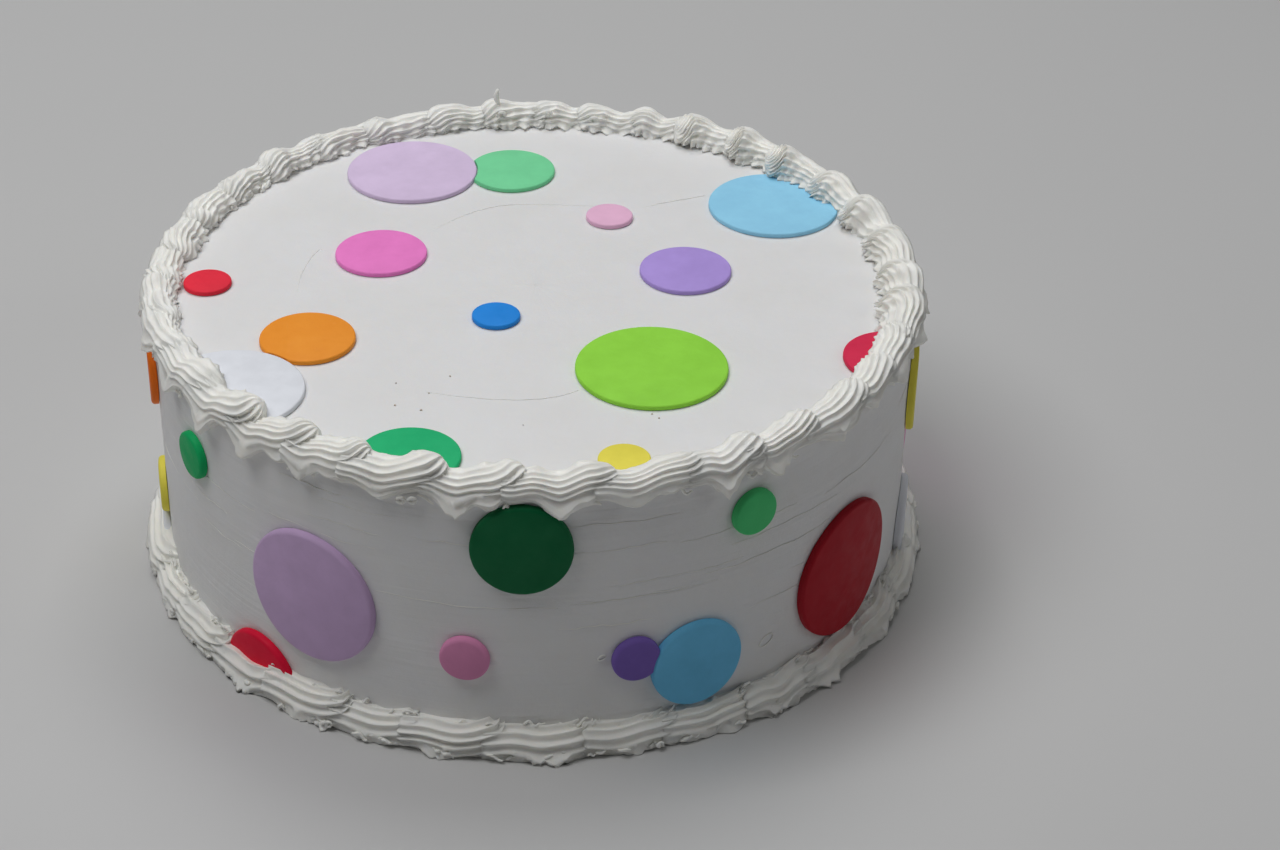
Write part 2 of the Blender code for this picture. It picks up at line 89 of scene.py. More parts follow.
DEEP_ORANGE = (255, 122, 32)
SMOOTHED_ICING = (236, 236, 237)
# The piped icing is whiter than the smoothed icing, and made lighter still as painted light for the light
# that the piping catches.
PIPED_ICING_WITH_PAINTED_LIGHT = (253, 252, 246)
CRUMB_COLOUR = (190, 178, 166)

# Each dot's node, x, y and radius in mm, and colour.
TOP_DOTS = (
    ("dot_top_01", -36.0, 66.1, 19.0, LAVENDER),
    ("dot_top_02", -6.7, 66.6, 12.7, MINT),
    ("dot_top_03", -42.8, 16.8, 12.7, MAGENTA),
    ("dot_top_04", 21.4, 38.2, 6.7, PALE_PINK),
    ("dot_top_05", 69.0, 44.7, 18.7, LIGHT_BLUE),
    ("dot_top_06", 41.6, 6.5, 12.7, VIOLET),
    ("dot_top_07", -89.3, 0.6, 6.5, RED),
    ("dot_top_08", -10.5, -17.9, 6.5, BLUE),
    ("dot_top_09", -60.0, -29.3, 12.7, AMBER),
    ("dot_top_10", -77.8, -54.8, 19.0, COOL_WHITE),
    ("dot_top_11", 30.2, -44.7, 20.0, LIME),
    ("dot_top_12", -31.2, -86.3, 12.9, GREEN),
    ("dot_top_13", 21.7, -88.0, 6.6, YELLOW),
    ("dot_top_14", 93.3, -40.2, 12.7, CRIMSON),
)
# Each dot's node, angle in degrees, height and radius in mm, and colour.
SIDE_DOTS = (
    ("dot_side_01", -33.2, 37.0, 19.2, SIDE_LAVENDER),
    ("dot_side_02", -10.0, 28.7, 6.5, SIDE_PINK),
    ("dot_side_03", -2.0, 62.9, 13.0, DARK_GREEN),
    ("dot_side_04", 13.8, 26.9, 6.5, PURPLE),
    ("dot_side_05", 22.9, 21.7, 12.8, SIDE_BLUE),
    ("dot_side_06", 31.2, 63.4, 6.5, SIDE_GREEN),
    ("dot_side_07", 51.0, 28.9, 19.5, DARK_RED),
    ("dot_side_08", -44.0, 3.0, 12.7, SIDE_RED),
    ("dot_side_09", -57.7, 59.1, 6.5, DEEP_GREEN),
    ("dot_side_10", -83.0, 62.3, 12.7, DEEP_ORANGE),
    ("dot_side_11", -83.5, 20.5, 7.9, YELLOW),
    ("dot_side_12", -85.5, -0.6, 12.7, COOL_WHITE),
    ("dot_side_13", 83.0, 52.8, 12.7, YELLOW),
    ("dot_side_14", 80.5, 10.9, 12.7, COOL_WHITE),
    ("dot_side_15", 101.0, 26.0, 19.0, MAGENTA),
    ("dot_side_16", 113.0, 62.0, 6.5, BLUE),
    ("dot_side_17", 122.5, 38.0, 12.7, LIME),
    ("dot_side_18", 141.0, 56.5, 12.7, VIOLET),
    ("dot_side_19", 146.0, 19.0, 6.5, AMBER),
    ("dot_side_20", 163.0, 34.0, 19.0, LIGHT_BLUE),
    ("dot_side_21", 181.0, 60.0, 6.5, CRIMSON),
    ("dot_side_22", 189.0, 22.5, 12.7, GREEN),
    ("dot_side_23", 207.0, 48.0, 19.0, YELLOW),
    ("dot_side_24", 222.5, 19.0, 6.5, PURPLE),
    ("dot_side_25", 234.0, 44.0, 12.7, RED),
    ("dot_side_26", 252.0, 29.0, 6.5, MINT),
)
# Marks, in mm and degrees: lines as x and y, side lines as two angles and a height,
# rings as angle, height and size, crumbs as x, y and size.
TOP_GROOVES = (
    ((-30.6, 29.6), (-19.2, 41.4), (-10.9, 45.0), (-1.6, 46.2), (12.8, 47.0), (32.4, 45.2)),
    ((-27.9, -55.2), (-12.9, -58.6), (-1.7, -58.7), (5.9, -57.3), (11.1, -54.5)),
    ((-64.2, -3.3), (-64.4, 4.4), (-62.0, 16.3), (-58.9, 19.7)),
)
TOP_SCRATCH = ((32.4, 45.2), (38.4, 47.9), (49.7, 52.2))
SIDE_LINES = (
    (-22.7, 2.9, 44.4), (-34.0, -22.0, 62.0), (-17.0, -6.0, 63.0), (-38.0, -27.0, 71.0),
    (-62.0, -47.0, 40.0), (4.0, 26.0, 45.5), (10.0, 30.0, 50.0), (28.0, 48.0, 55.0),
    (-60.0, -50.0, 48.0), (5.0, 18.0, 61.0),
)
SIDE_RINGS = ((34.8, 19.9, 2.2), (9.0, 28.0, 1.0))
CRUMBS = (
    (-22.1, -47.5, 0.3), (-29.0, -63.8, 0.45), (-35.7, -61.4, 0.35), (-35.9, -50.8, 0.3),
    (-27.3, -55.7, 0.3), (-3.2, -71.0, 0.25), (29.4, -66.2, 0.35), (31.1, -68.1, 0.35),
)
# Dots that are cut back round another.
TOP_BITES = {"dot_top_02": "dot_top_01", "dot_top_09": "dot_top_10"}
SIDE_BITES = {"dot_side_04": "dot_side_05"}

# Where each shell's head lies, in degrees from the front towards the right.
TOP_HEADS = (
    -77.5, -66.5, -55.2, -45.1, -34.2, -25.1, -13.8, -2.5, 9.8, 22.8, 31.9, 42.0,
    53.7, 63.2, 72.4, 81.6, 91.0, 102.0, 112.5, 123.0, 133.7, 143.0, 153.3, 162.3,
    171.2, 179.5, 188.0, 197.7, 209.1, 219.8, 231.0, 241.5, 251.6, 261.4, 271.2,
)
BASE_HEADS = (
    -73.0, -62.0, -51.0, -39.5, -28.0, -17.3, -5.7, 8.2, 19.2, 32.0, 42.0, 54.0,
    66.0, 77.5, 90.0, 102.0, 113.5, 126.0, 138.0, 149.5, 162.0, 174.0, 185.5, 198.0,
    210.0, 221.5, 234.0, 246.0, 258.0, 270.0,
)


# Helpers
def linear(colour):
    """Scene-linear colour from sRGB 0 to 255."""
    out = []
    for value in colour:
        c = value / 255.0
        out.append(c / 12.92 if c <= 0.04045 else ((c + 0.055) / 1.055) ** 2.4)
    return tuple(out)


def lattice(ix, iy, iz, seed):
    """Repeatable pseudo-random values from -1 to 1 on a whole-number lattice."""
    h = (ix * 374761393 + iy * 668265263 + iz * 2147483647 + seed * 974634777) & 0xFFFFFFFF
    h = ((h ^ (h >> 13)) * 1274126177) & 0xFFFFFFFF
    h = h ^ (h >> 16)
    return (h & 0xFFFF) / 32767.5 - 1.0


def value_noise(points, scale, seed=0):
    """Smooth noise from -1 to 1 at points (..., 3), with features of the given size."""
    p = np.asarray(points, float) / scale
    base = np.floor(p).astype(np.int64)
    f = p - base
    f = f * f * (3.0 - 2.0 * f)
    total = 0.0
    for dx in (0, 1):
        for dy in (0, 1):
            for dz in (0, 1):
                corner = lattice(base[..., 0] + dx, base[..., 1] + dy, base[..., 2] + dz, seed)
                weight = np.where(dx, f[..., 0], 1 - f[..., 0])
                weight = weight * np.where(dy, f[..., 1], 1 - f[..., 1])
                weight = weight * np.where(dz, f[..., 2], 1 - f[..., 2])
                total = total + corner * weight
    return total


def mesh_object(name, verts, faces):
    """A smooth-shaded object from points and faces."""
    mesh = bpy.data.meshes.new(name)
    mesh.from_pydata([tuple(v) for v in verts], [], faces)
    mesh.validate()
    mesh.shade_smooth()
    made = bpy.data.objects.new(name, mesh)
    bpy.context.scene.collection.objects.link(made)
    return made


# Materials
class Nodes:
    """A short way to build a shader graph."""

    def __init__(self, name):
        self.material = bpy.data.materials.new(name)
        self.material.use_nodes = True
        self.tree = self.material.node_tree
        self.shader = self.tree.nodes["Principled BSDF"]
        coords = self.tree.nodes.new("ShaderNodeTexCoord")
        self.place = coords.outputs["Object"]

    def add(self, kind):
        return self.tree.nodes.new(kind)

    def link(self, out, into):
        self.tree.links.new(out, into)

    def noise(self, scale, detail=3.0, roughness=0.5, vector=None):
        node = self.add("ShaderNodeTexNoise")
        node.inputs["Scale"].default_value = scale
        node.inputs["Detail"].default_value = detail
        node.inputs["Roughness"].default_value = roughness
        self.link(vector or self.place, node.inputs["Vector"])
        return node.outputs["Fac"]

    def ramp(self, value, low, high, out_low, out_high):
        node = self.add("ShaderNodeMapRange")
        node.inputs["From Min"].default_value = low
        node.inputs["From Max"].default_value = high
        node.inputs["To Min"].default_value = out_low
        node.inputs["To Max"].default_value = out_high
        self.link(value, node.inputs["Value"])
        return node.outputs["Result"]

    def mix(self, factor, first, second):
        """A mix of two colours: sockets 6 and 7 take them, and output 2 gives the result."""
        node = self.add("ShaderNodeMix")
        node.data_type = "RGBA"
        self.link(factor, node.inputs[0])
        for socket, value in ((node.inputs[6], first), (node.inputs[7], second)):
            if isinstance(value, tuple):
                socket.default_value = (*value, 1.0)
            else:
                self.link(value, socket)
        return node.outputs[2]

    def maths(self, operation, first, second):
        node = self.add("ShaderNodeMath")
        node.operation = operation
        for socket, value in ((node.inputs[0], first), (node.inputs[1], second)):
            if isinstance(value, (int, float)):
                socket.default_value = value
            else:
                self.link(value, socket)
        return node.outputs[0]

    def bump(self, height, distance, strength=1.0, below=None):
        node = self.add("ShaderNodeBump")
        node.inputs["Distance"].default_value = distance
        node.inputs["Strength"].default_value = strength
        self.link(height, node.inputs["Height"])
        if below is not None:
            self.link(below, node.inputs["Normal"])
        return node.outputs["Normal"]


def icing_material(name, colour, roughness, fine, coarse):
    """Whipped icing: near white, faintly mottled, with tiny pores."""
    n = Nodes(name)
    base = linear(colour)
    warm = tuple(c * f for c, f in zip(base, (0.975, 0.970, 0.955)))
    mottle = n.ramp(n.noise(38.0, 4.0, 0.6), 0.35, 0.75, 0.0, 1.0)
    n.link(n.mix(mottle, base, warm), n.shader.inputs["Base Color"])
    n.link(n.ramp(n.noise(210.0, 3.0), 0.3, 0.7, roughness - 0.06, roughness + 0.08),
           n.shader.inputs["Roughness"])
    grain = n.bump(n.noise(2600.0, 3.0, 0.6), fine)
    n.link(n.bump(n.noise(420.0, 3.0, 0.55), coarse, below=grain), n.shader.inputs["Normal"])
    n.shader.inputs["Specular IOR Level"].default_value = 0.35
    n.shader.inputs["Subsurface Weight"].default_value = 0.3
    n.shader.inputs["Subsurface Radius"].default_value = (1.0, 0.85, 0.7)
    n.shader.inputs["Subsurface Scale"].default_value = 0.002
    return n


def piped_icing_with_painted_light(name):
    """The icing of everything that was piped: whiter than the smoothed icing, and raised further as
    painted light for the light that the piping catches.
    """
    return icing_material(name + "_icing", PIPED_ICING_WITH_PAINTED_LIGHT, 0.5, 0.00003, 0.00008).material


def paste_material(name, colour):
    """Rolled sugar paste: even colour with faint clouding, dusty sheen and a fine grain."""
    n = Nodes(name)
    base = linear(colour)
    pale = tuple(min(1.0, c * 1.05 + 0.006) for c in base)
    deep = tuple(c * 0.955 for c in base)
    cloud = n.ramp(n.noise(120.0, 4.0, 0.6), 0.3, 0.7, 0.0, 1.0)
    n.link(n.mix(cloud, deep, pale), n.shader.inputs["Base Color"])
    n.link(n.ramp(n.noise(300.0, 2.0), 0.3, 0.7, 0.44, 0.58), n.shader.inputs["Roughness"])
    grain = n.bump(n.noise(3600.0, 2.0, 0.6), 0.00003)
    n.link(n.bump(n.noise(240.0, 2.0), 0.0002, below=grain), n.shader.inputs["Normal"])
    n.shader.inputs["Specular IOR Level"].default_value = 0.12
    return n.material


# The iced body
def body_profile():
    """Radii and heights up the side, round the upper edge and in towards the middle."""
    profile = []
    for z in np.linspace(0.0, CAKE_HEIGHT - UPPER_EDGE, 76):
        profile.append((CAKE_RADIUS, z))
    for a in np.linspace(0, math.pi / 2, 7)[1:]:
        profile.append((CAKE_RADIUS - UPPER_EDGE * (1 - math.cos(a)),
                        CAKE_HEIGHT - UPPER_EDGE * (1 - math.sin(a))))
    for r in np.linspace(CAKE_RADIUS - UPPER_EDGE, 2.0 * MM, 66)[1:]:
        profile.append((r, CAKE_HEIGHT))
    return np.array(profile)


def body_points(turn):
    """The profile turned round the axis, with the slight unevenness that a scraper leaves."""
    profile = body_profile()
    r, z = profile[:, 0][:, None], profile[:, 1][:, None]
    x, y = np.sin(turn)[None, :], -np.cos(turn)[None, :]
    pts = np.stack([r * x, r * y, z + 0 * x], -1)
    uneven = 0.10 * MM * value_noise(pts, 26 * MM, 3) + 0.05 * MM * value_noise(pts, 9 * MM, 4)
    on_top = np.clip((pts[..., 2] - CAKE_HEIGHT + 0.4 * MM) / (0.4 * MM), 0, 1)
    fade = np.clip(z / (4 * MM), 0, 1)
    bands = np.stack([turn[None, :] * 0.02 + 0 * z, 0 * x + 0 * z, z + 0 * x], -1)
    scraped = 0.05 * MM * value_noise(bands, 2.2 * MM, 9)
    push = (uneven + scraped - 0.1 * MM) * (1 - on_top) * fade
    pts[..., 0] += push * x
    pts[..., 1] += push * y
    pts[..., 2] += (uneven - 0.12 * MM) * on_top
    return pts


def body_mesh():
    """The body's mesh, closed by fans over the middle of its top and under its foot."""
    pts = body_points(np.linspace(0, 2 * math.pi, 360, endpoint=False))
    rows, cols = pts.shape[:2]
    verts = list(pts.reshape(-1, 3))
    faces = []
    for i in range(rows - 1):
        for j in range(cols):
            k = (j + 1) % cols
            faces.append((i * cols + j, i * cols + k, (i + 1) * cols + k, (i + 1) * cols + j))
    verts.append((0, 0, CAKE_HEIGHT - 0.1 * MM))
    verts.append((0, 0, 0))
    crown, foot = len(verts) - 2, len(verts) - 1
    last = (rows - 1) * cols
    for j in range(cols):
        k = (j + 1) % cols
        faces.append((last + j, last + k, crown))
        faces.append((k, j, foot))
    return mesh_object("iced_body", verts, faces)


def streaks(n, turn_angle, level, along, across, roughness):
    """Noise drawn out into long lines round the side."""
    join = n.add("ShaderNodeCombineXYZ")
    n.link(n.maths("MULTIPLY", turn_angle, along), join.inputs["X"])
    n.link(n.maths("MULTIPLY", level, across), join.inputs["Y"])
    return n.noise(1.0, 3.0, roughness, vector=join.outputs[0])


def add_scraper_lines(n):
    """Bump for the broad and the fine lines that the scraper drew round the side."""
    split = n.add("ShaderNodeSeparateXYZ")
    n.link(n.place, split.inputs[0])
    turn_angle = n.maths("ARCTAN2", split.outputs["X"], split.outputs["Y"])
    tilt = n.maths("MULTIPLY", turn_angle, 0.0011)
    level = n.maths("ADD", split.outputs["Z"], tilt)
    broad = streaks(n, turn_angle, level, 0.9, 420.0, 0.65)
    fine = streaks(n, turn_angle, level, 7.0, 1500.0, 0.7)
    below = n.shader.inputs["Normal"].links[0].from_socket
    below = n.bump(fine, 0.00012, 0.6, below=below)
    n.link(n.bump(broad, 0.0004, 0.65, below=below), n.shader.inputs["Normal"])


def iced_body():
    """The cake's smoothed icing, as one closed piece."""
    body = body_mesh()
    body.data.set_sharp_from_angle(angle=SHARP_ANGLE)
    n = icing_material("smoothed_icing", SMOOTHED_ICING, 0.48, 0.00003, 0.00012)
    add_scraper_lines(n)
    body.data.materials.append(n.material)
    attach(body, "root")
    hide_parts("cake_body")


# Piped shells
def smooth_step(low, high, x):
    """0 below low, 1 above high, and an even curve between."""
    y = np.clip((x - low) / (high - low), 0.0, 1.0)
    return y * y * (3.0 - 2.0 * y)


def hump(x, centre, width):
    """1 at the centre, falling away evenly on both sides."""
    return np.exp(-(((x - centre) / width) ** 2))


def ridge_places(border):
    """Places round a section, in ridges: close together where they show, sparse where buried."""
    fine = (0.0, 0.12, 0.3, 0.5, 0.7, 0.88)
    coarse = (0.0, 0.5)
    places = []
    for ridge in range(border["ridges"]):
        centre = 360.0 * (ridge + 0.5) / border["ridges"]
        steps = coarse if border["buried"][0] < centre < border["buried"][1] else fine
        places += [ridge + step for step in steps]
    return np.array(places)[None, :]


def spine(border, shell, t):
    """A shell's middle line and its heading: along the border, then hooked inwards and up.

    Returns angle round the cake, radius, height, inward yaw and upward pitch, one row per t.
    """
    span = math.radians(shell["head"] + border["overhang"] - (shell["tail"] - border["tuck"]))
    length = span * shell["radius"]
    hook = 1.0 - smooth_step(0.0, border["hook_length"] + 0.12 * shell["domed"], t)
    calm_yaw, calm_pitch = shell["calm_heading"]
    yaw = calm_yaw + (border["yaw"] - calm_yaw) * shell["domed"]
    pitch = calm_pitch + (border["pitch"] - calm_pitch) * shell["domed"]
    yaw = math.radians(yaw) * shell["hook"] * hook
    pitch = math.radians(pitch) * shell["hook"] * hook
    step = np.diff(t, axis=0, append=1.0)

    def from_tail(values):
        return np.cumsum((values * step)[::-1], axis=0)[::-1] * length

    along = from_tail(np.cos(yaw) * np.cos(pitch))
    inward = from_tail(np.sin(yaw) * np.cos(pitch))
    climb = from_tail(np.sin(pitch))
    turn = math.radians(shell["tail"] - border["tuck"]) + along / shell["radius"]
    start_out = border["start_out"] * (1.0 - shell["domed"]) * smooth_step(0.6, 1.0, t)
    return turn, shell["radius"] - inward + start_out, shell["height"] + climb, yaw, pitch


def hanging_lips(border, shell, section, place, t, seed):
    """How far the lowest ridges flare into lips, ragged along the shell."""
    flare = hump(section % math.tau, math.radians(border["lip_angle"]), 0.55)
    along = np.stack([t * 26 + 0 * place, 0 * t + place, 0 * t * place + seed], -1)
    ragged = 1.0 + border["rag"] * value_noise(along, 1.0, seed)
    first = shell["lip"] * hump(t, shell["dip_at"], 0.14)
    second = shell["lip_2"] * hump(t, shell["lip_at"], 0.07)
    return (first + second) * flare * ragged


def fluted_skirt(border, shell, t, outward, upward, swell, phase):
    """How far a fluted skirt spreads from the inner side onto the top of the cake."""
    length = math.radians(shell["head"] - shell["tail"]) * shell["radius"]
    skirt = smooth_step(0.1, 0.8, 0.35 - outward) * smooth_step(-0.35, 0.25, -upward) * swell
    flutes = np.cos(math.tau * length * t / border["flute"] + 2.0 * np.sin(5.0 * t + phase))
    spread = border["skirt"] * shell["wild"] * (1.0 - 0.55 * shell["plain"])
    return spread * skirt * (1.0 + 0.5 * flutes)


def roughness(points, shell, crest, seed):
    """Unevenness of the icing: slow bulges, then small tears that catch the crests."""
    wild = shell["wild"]
    bulges = wild * (0.6 + 0.9 * shell["plain"] + 0.5 * shell["domed"]) * MM
    tears = (0.05 + 0.12 * wild) * MM
    pores = (0.02 + 0.04 * wild) * MM
    rough = bulges * value_noise(points, BULGE_SIZE, seed)
    rough += tears * value_noise(points, TEAR_SIZE, seed + 1) * (0.4 + crest)
    rough += pores * value_noise(points, PORE_SIZE, seed + 2)
    return rough


def shell_points(border, shell, rand, seed):
    """One piped shell as a grid of points: rows from the head to the tail, columns round it."""
    t = (np.linspace(0.004, 1.0, border["stations"]) ** 1.3)[:, None]
    place = ridge_places(border)
    # A domed head closes slowly, a calm one like a cut end. The tail starts bluntly too.
    domed, cut_off = shell["domed"], shell["cut_off"]
    head_length = border["head_length"] * (1.0 - 0.15 * domed - 0.35 * cut_off)
    blunt = 2.3 + 0.6 * cut_off
    near = 1.0 - np.minimum(t / head_length, 1.0)
    far = np.maximum(0.0, (t - 0.93) / 0.071)
    swell = (1.0 - near**blunt) ** (1 / blunt) * (1.0 - far**3) ** (1 / 3)
    run = np.maximum(0.0, (t - head_length) / (1.0 - head_length))

    # The ridges climb towards the head and waver on the way.
    phase = rand.uniform(0, math.tau)
    twist = border["twist"] * rand.uniform(0.7, 1.25) * (1.0 - smooth_step(0.0, 0.6, t))
    sway = border["sway"] * np.sin(math.tau * rand.uniform(1.2, 2.2) * t + phase)
    twist = twist + border["swirl"] * (0.2 + 0.8 * domed) * (1.0 - 0.7 * cut_off) * near**1.2
    section = math.tau * place / border["ridges"] + twist + sway
    section = section + 0.10 * np.sin(2 * section + rand.uniform(0, math.tau))
    outward, upward = np.cos(section), np.sin(section)

    # Sharp crests with hollows between, fading over the blunt end of the head.
    crest = np.abs(2.0 * (place % 1.0) - 1.0)
    strength = np.array([rand.uniform(0.72, 1.2) for _ in range(border["ridges"])])
    strength = strength[np.minimum(place.astype(int), border["ridges"] - 1)]
    fade = (1.0 - near**3) * (1.0 - domed) + (1.0 - 0.6 * near**6) * domed
    depth = border["ridge_depth"] * strength * fade * (1.0 - 0.25 * run)
    flare = 0.12 * cut_off * crest**3 * hump(t, 0.12, 0.10)
    lip_side = hump(section % math.tau, math.radians(border["lip_angle"]), 0.5)
    lip_side = lip_side * hump(t, shell["dip_at"], 0.2)
    ridged = 1.0 - depth * (1.0 - 0.7 * lip_side) * (1.0 - crest**2.2) + flare

    # The tail is slighter, most of all on its inner and upper side.
    inner = 0.5 + 0.5 * np.cos(section - math.radians(115.0))
    tail_high = border["tail_high"] + 0.16 * domed
    tail = border["tail_low"] + (tail_high - border["tail_low"]) * inner
    size = shell["size"] * swell * (1.0 - shell["rise"] * (1.0 - tail) * run**1.1) * ridged
    size = size * (1.0 + shell["rise"] * border["bulge"] * hump(t, 0.26, 0.20) * (0.5 + 0.5 * upward))
    size = size * (1.0 + border["dome"] * domed * hump(t, 0.12, 0.24) * (0.65 + 0.35 * upward))

    # Folds across the inner side, where the piping tip wavered.
    inside = smooth_step(0.35, 0.9, 0.5 - 0.5 * np.cos(section)) * smooth_step(0.1, 0.4, t)
    fold = np.abs(np.sin(math.pi * shell["folds"] * t + 1.5 * section + phase))
    inner_width = border["inner_width"] * (1.0 - 0.8 * shell["plain"])
    size = size * (1.0 + inside * (inner_width - shell["fold_depth"] * fold))

    dip_at = shell["dip_at"]
    kink = np.maximum(0.0, 1.0 - np.abs(t - dip_at) / 0.22)
    dip = 0.6 * hump(t, dip_at, 0.17) + 0.4 * kink
    wave = -shell["dip"] * dip + border["wave"] * np.sin(math.tau * shell["waves"] * t + phase)
    low = np.clip(0.5 - 0.5 * upward, 0, 1)

    turn, radius, height, yaw, pitch = spine(border, shell, t)
    wide = border["half_width"] * size * outward
    high = border["half_height"] * size * upward
    z = height + high * np.cos(pitch) + wave * (0.6 + 0.6 * low)
    ahead = wide * np.sin(yaw) - high * np.sin(pitch) * np.cos(yaw)
    reach = radius + wide * np.cos(yaw) + high * np.sin(pitch) * np.sin(yaw)

    push = hanging_lips(border, shell, section, place, t, seed) * swell
    reach = reach + 0.8 * push
    z = z - 0.9 * push
    reach = reach - fluted_skirt(border, shell, t, outward, upward, swell, phase)

    # The crests end like the teeth of a comb.
    teeth = np.array([rand.uniform(-0.35, 0.35) for _ in range(border["ridges"])])
    teeth = teeth[np.minimum(place.astype(int), border["ridges"] - 1)] + 0.5 * (crest - 0.5)
    ahead = ahead + border["teeth"] * teeth * (1.0 - smooth_step(0.0, 0.3, t)) * swell
    turn = turn + ahead / shell["radius"]
    points = np.stack([reach * np.sin(turn), -reach * np.cos(turn), z + 0 * turn], -1)

    rough = roughness(points, shell, crest, seed)
    points[..., 0] += rough * outward * np.sin(turn)
    points[..., 1] -= rough * outward * np.cos(turn)
    points[..., 2] += rough * upward
    if border["floor"] is not None:
        points[..., 2] = np.maximum(points[..., 2], border["floor"])
    return points


def grid_faces(rows, columns, start):
    """Quads over a grid that closes round its columns, and the fans that close its two ends."""
    i, j = np.meshgrid(np.arange(rows - 1), np.arange(columns), indexing="ij")
    k = (j + 1) % columns
    quads = np.stack([i * columns + j, i * columns + k, (i + 1) * columns + k, (i + 1) * columns + j], -1)
    j = np.arange(columns)
    k = (j + 1) % columns
    first, last = rows * columns, rows * columns + 1
    fans = np.concatenate([
        np.stack([k, j, np.full(columns, first)], -1),
        np.stack([(rows - 1) * columns + j, (rows - 1) * columns + k, np.full(columns, last)], -1),
    ])
    return (quads.reshape(-1, 4) + start).tolist() + (fans + start).tolist()


def facing_out(obj):
    """Turn every face outwards and shade it smooth."""
    shape = bmesh.new()
    shape.from_mesh(obj.data)
    bmesh.ops.recalc_face_normals(shape, faces=shape.faces[:])
    shape.to_mesh(obj.data)
    shape.free()
    obj.data.shade_smooth()


def shell_traits(border, index):
    """One shell's joints and what sets it apart, drawn as in the part's source, then its details."""
    heads = border["heads"]
    rand = random.Random(border["seed"] + index)
    shell = {
        "head": heads[index],
        "tail": heads[index - 1] - (360.0 if index == 0 else 0.0),
        "size": 1.0 + rand.uniform(-0.05, 0.05),
        "radius": border["radius"] + rand.uniform(-0.35, 0.35) * MM,
        "height": border["height"] + rand.uniform(-0.35, 0.35) * MM,
        "hook": 1.0 + rand.uniform(-0.2, 0.2),
        "dip_at": rand.uniform(0.5, 0.7),
        "dip": border["dip"] * rand.uniform(0.5, 1.3),
        "lip": border["lip"] * rand.uniform(0.4, 1.4),
    }
    domed_from, domed_to = border["domed"]
    rise = 1.0 if domed_from < shell["head"] < domed_to else border["calm"]
    shell["rise"] = rise * rand.uniform(0.75, 1.1)
    shell["domed"] = float(smooth_step(0.55, 1.0, shell["rise"]))
    shell["cut_off"] = border["cut_off"](shell["head"])
    shell["calm_heading"] = border["calm_heading"](shell["head"])
    shell["plain"] = border["plain"](shell["head"])
    shell["size"] *= 1.0 - 0.07 * shell["plain"] - border["slim"](shell["head"])
    shell["dip"] *= 1.0 + 0.5 * (1.0 - shell["domed"]) * (1.0 - shell["plain"])
    wild = border["wild"](shell["head"])
    shell.update({
        "wild": wild,
        "waves": rand.uniform(1.6, 2.8),
        "folds": rand.uniform(3.5, 6.0),
        "fold_depth": border["fold_depth"] * (0.3 + wild),
        "lip_2": border["lip"] * rand.uniform(0.0, 0.9),
        "lip_at": rand.uniform(0.15, 0.4),
    })
    return shell, rand


def piped_ring(name, node, border):
    """A ring of overlapping piped shells, made in arcs of a few shells each."""
    icing = piped_icing_with_painted_light(name)
    heads = border["heads"]
    arc_length = math.ceil(len(heads) / border["arcs"])
    for arc in range(border["arcs"]):
        verts, faces = [], []
        for index in range(arc * arc_length, min((arc + 1) * arc_length, len(heads))):
            shell, rand = shell_traits(border, index)
            points = shell_points(border, shell, rand, border["seed"] + 10 * index)
            rows, columns = points.shape[:2]
            faces += grid_faces(rows, columns, sum(len(v) for v in verts))
            verts.append(np.concatenate([
                points.reshape(-1, 3), points[0].mean(0)[None], points[-1].mean(0)[None]]))
        ring = mesh_object(f"{name}_{arc + 1}", np.concatenate(verts), faces)
        facing_out(ring)
        ring.data.materials.append(icing)
        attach(ring, "root")
        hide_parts(node)


def upper_heading(head):
    """Yaw and pitch, in degrees, of an upper shell that isn't domed."""
    if head < -50 or head > 158:
        return (8.0, -8.0)
    if head < -5:
        return (48.0, 24.0)
    if head < 5:
        return (40.0, 18.0)
    return (14.0, 3.0)


def upper_slim(head):
    """The share by which an upper shell is slighter."""
    return 0.10 if 15 < head < 75 else 0.0


def upper_plain(head):
    """1 for the upper shells at the left that run on like a rope."""
    return 1.0 if head < -58 or head > 192 else 0.0


def upper_cut_off(head):
    """How far an upper shell's head looks cut off."""
    return 0.4 if -50 < head < 60 else 0.0


def upper_wild(head):
    """How uneven an upper shell is."""
    if head < -58 or head > 203:
        return 0.6
    return 0.45 if head > 75 else 0.2


def lower_heading(_head):
    """Yaw and pitch, in degrees, of a lower shell that isn't domed."""
    return (26.0, 6.0)


def lower_wild(head):
    """How uneven a lower shell is."""
    return 0.65 if head < -30 or head > 45 else 0.25


def none_of_it(_head):
    """For what the lower shells don't have."""
    return 0.0


# Angles in degrees: "buried" is the part of a section that never shows, from its outer side up.
TOP_BORDER = {
    "heads": TOP_HEADS, "seed": 6139, "arcs": 3, "stations": 46, "ridges": 15,
    "buried": (222.0, 290.0), "radius": 101.4 * MM, "height": CAKE_HEIGHT + 2.1 * MM,
    "half_width": 5.0 * MM, "half_height": 4.1 * MM, "ridge_depth": 0.20, "tail_high": 0.60,
    "tail_low": 0.92, "head_length": 0.24, "hook_length": 0.46, "yaw": 46.0, "pitch": 16.0,
    "calm_heading": upper_heading, "start_out": 0.7 * MM, "dome": 0.14, "slim": upper_slim,
    "plain": upper_plain, "cut_off": upper_cut_off, "domed": (75.0, 158.0), "calm": 0.5,
    "skirt": 3.2 * MM, "flute": 2.5 * MM, "twist": 0.30, "sway": 0.05, "wave": 0.50 * MM,
    "dip": 1.6 * MM, "lip": 2.2 * MM, "lip_angle": 334.0, "rag": 0.25, "swirl": 2.2,
    "teeth": 0.9 * MM, "fold_depth": 0.26, "inner_width": 0.26, "bulge": 0.30, "overhang": 1.6,
    "tuck": 2.6, "floor": None, "wild": upper_wild,
}
